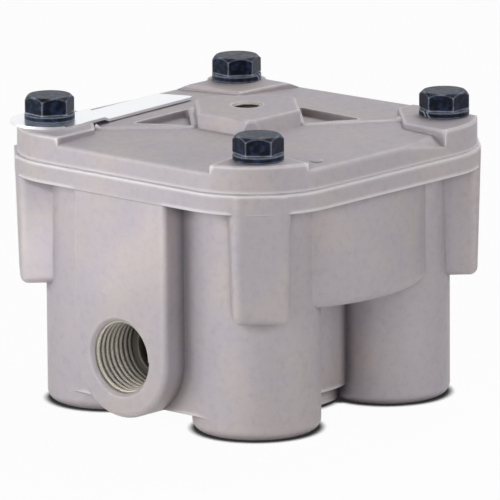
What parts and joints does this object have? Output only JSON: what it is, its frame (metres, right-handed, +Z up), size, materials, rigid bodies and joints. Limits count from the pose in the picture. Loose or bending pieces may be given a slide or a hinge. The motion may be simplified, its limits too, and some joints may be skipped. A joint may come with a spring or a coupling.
{
  "type": "relay valve",
  "caption": "Air brake relay valve: cast body with round port columns and corner lugs, a bolted cover with a control port hub, and a piston over a sprung inlet and exhaust valve.",
  "frame": {"origin": "on the valve axis, in the plane of the four port columns' ends, on which the valve stands", "axes": "+Z up along the valve axis, out of the control port; -Y out of the supply port"},
  "size_m": [0.1116, 0.1116, 0.0901],
  "materials": {
    "cast_body": "as-cast, fine blasted",
    "cast_cover": "as-cast, fine blasted",
    "tag_metal": "bright sheet",
    "seal_rubber": "moulded",
    "machined_piston": "turned",
    "valve_metal": "turned",
    "plated_steel": "zinc plated",
    "spring_steel": "oiled",
    "cast_inner": "as-cast",
    "diaphragm_rubber": "moulded",
    "black_steel": "black oxide",
    "black_washer": "black oxide"
  },
  "bodies": {
    "housing": {"body": "cast_body", "cover": "cast_cover", "cover_screw_front": "black_steel", "cover_screw_left": "black_steel", "cover_screw_right": "black_steel", "cover_screw_back": "black_steel", "lock_washer_front": "black_washer", "lock_washer_left": "black_washer", "lock_washer_right": "black_washer", "lock_washer_back": "black_washer", "id_tag": "tag_metal", "cover_seal_ring": "seal_rubber", "valve_spring": "spring_steel", "exhaust_cover": "cast_inner", "exhaust_cover_o_ring": "seal_rubber", "valve_guide_o_ring": "seal_rubber", "retaining_ring": "spring_steel", "exhaust_diaphragm": "diaphragm_rubber", "diaphragm_washer": "plated_steel", "diaphragm_screw": "plated_steel"},
    "piston": {"relay_piston": "machined_piston", "piston_o_ring": "seal_rubber"},
    "valve": {"inlet_exhaust_valve": "valve_metal", "valve_face": "seal_rubber", "valve_retainer": "plated_steel"}
  },
  "joints": [
    {"name": "relay_piston_slide", "type": "slide", "parent": "housing", "child": "piston", "axis": [0, 0, -1], "range_m": [0, 0.004]},
    {"name": "valve_slide", "type": "slide", "parent": "housing", "child": "valve", "axis": [0, 0, -1], "range_m": [0, 0.0024], "stiffness_N_per_m": 900, "springref_m": -0.004, "deforming": ["valve_spring"]}
  ],
  "couplings": [
    {"joint": "valve_slide", "follows": "relay_piston_slide", "ratio": 0.6}
  ]
}
